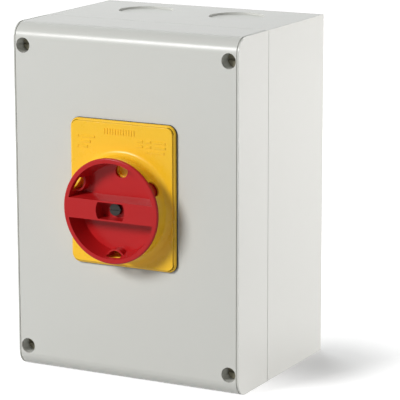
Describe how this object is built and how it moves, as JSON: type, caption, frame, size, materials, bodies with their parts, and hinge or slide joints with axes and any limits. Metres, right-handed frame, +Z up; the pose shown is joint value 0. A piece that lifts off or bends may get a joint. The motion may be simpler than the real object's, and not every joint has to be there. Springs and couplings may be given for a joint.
{
  "type": "rotary isolator switch",
  "caption": "Wall-mounted rotary isolator: a grey box with a yellow plate and a red padlockable handle that turns stacked contact decks.",
  "frame": {"origin": "middle of the four wall holes, on the back face that lies against the wall", "axes": "+Z up, +X to the right as seen from the front, -Y out of the wall towards the user"},
  "size_m": [0.18, 0.159, 0.254],
  "materials": {
    "housing_grey": "light grey moulded plastic with a fine grain",
    "signal_yellow": "signal yellow moulded plastic",
    "signal_red": "signal red moulded plastic, satin",
    "screw_olive": "olive grey painted screw heads, dull",
    "moulding_black": "black thermoset moulding",
    "moulding_grey": "mid grey thermoset moulding",
    "seal_rubber": "black sealing rubber",
    "contact_copper": "tinned copper alloy, worn to copper at the contacts",
    "brass": "plain brass",
    "zinc_steel": "zinc-plated steel"
  },
  "bodies": {
    "base": {"base_box": "housing_grey", "post_inserts": "brass", "mounting_plate": "zinc_steel", "mounting_plate_screws": "zinc_steel", "switch_foot": "moulding_black", "switch_screws": "zinc_steel", "deck_1": "moulding_grey", "deck_2": "moulding_black", "deck_3": "moulding_grey", "deck_4": "moulding_black", "switch_cap": "moulding_black", "tie_bolts": "zinc_steel", "tie_nuts": "zinc_steel", "line_contact_1": "contact_copper", "line_contact_2": "contact_copper", "line_contact_3": "contact_copper", "line_contact_4": "contact_copper", "load_contact_1": "contact_copper", "load_contact_2": "contact_copper", "load_contact_3": "contact_copper", "load_contact_4": "contact_copper", "line_clamps": "zinc_steel", "load_clamps": "zinc_steel", "line_terminal_screws": "zinc_steel", "load_terminal_screws": "zinc_steel", "earth_bar": "brass", "earth_screws": "brass", "detent_spring_left": "zinc_steel", "detent_spring_right": "zinc_steel"},
    "lid": {"lid": "housing_grey", "lid_gasket": "seal_rubber", "lid_screws": "screw_olive", "lid_screw_seals": "seal_rubber", "front_plate": "signal_yellow", "plate_gasket": "seal_rubber", "plate_screws": "zinc_steel"},
    "handle": {"handle": "signal_red", "handle_driver": "moulding_black", "handle_screw": "screw_olive", "handle_retainer": "zinc_steel", "driver_seal": "seal_rubber"},
    "rotor": {"drive_shaft": "zinc_steel", "rotor_1": "moulding_grey", "rotor_2": "moulding_grey", "rotor_3": "moulding_grey", "rotor_4": "moulding_grey", "moving_contact_1": "contact_copper", "moving_contact_2": "contact_copper", "moving_contact_3": "contact_copper", "moving_contact_4": "contact_copper", "contact_springs": "zinc_steel", "detent_wheel": "moulding_grey"},
    "plunger_left": {"detent_plunger_left": "zinc_steel"},
    "plunger_right": {"detent_plunger_right": "zinc_steel"}
  },
  "joints": [
    {"name": "lid_lift", "type": "slide", "parent": "base", "child": "lid", "axis": [0, -1, 0], "range_m": [0, 0.08]},
    {"name": "handle_turn", "type": "hinge", "parent": "lid", "child": "handle", "pos_m": [0, -0.14, 0.002], "axis": [0, 1, 0], "range_deg": [0, 90]},
    {"name": "rotor_turn", "type": "hinge", "parent": "base", "child": "rotor", "pos_m": [0, -0.06, 0.002], "axis": [0, 1, 0], "range_deg": [0, 90]},
    {"name": "detent_left_slide", "type": "slide", "parent": "base", "child": "plunger_left", "axis": [1, 0, 0], "range_m": [0, 0.0014]},
    {"name": "detent_right_slide", "type": "slide", "parent": "base", "child": "plunger_right", "axis": [-1, 0, 0], "range_m": [0, 0.0014]}
  ],
  "couplings": [
    {"joint": "rotor_turn", "follows": "handle_turn", "ratio": 1},
    {"joint": "detent_right_slide", "follows": "detent_left_slide", "ratio": 1}
  ]
}
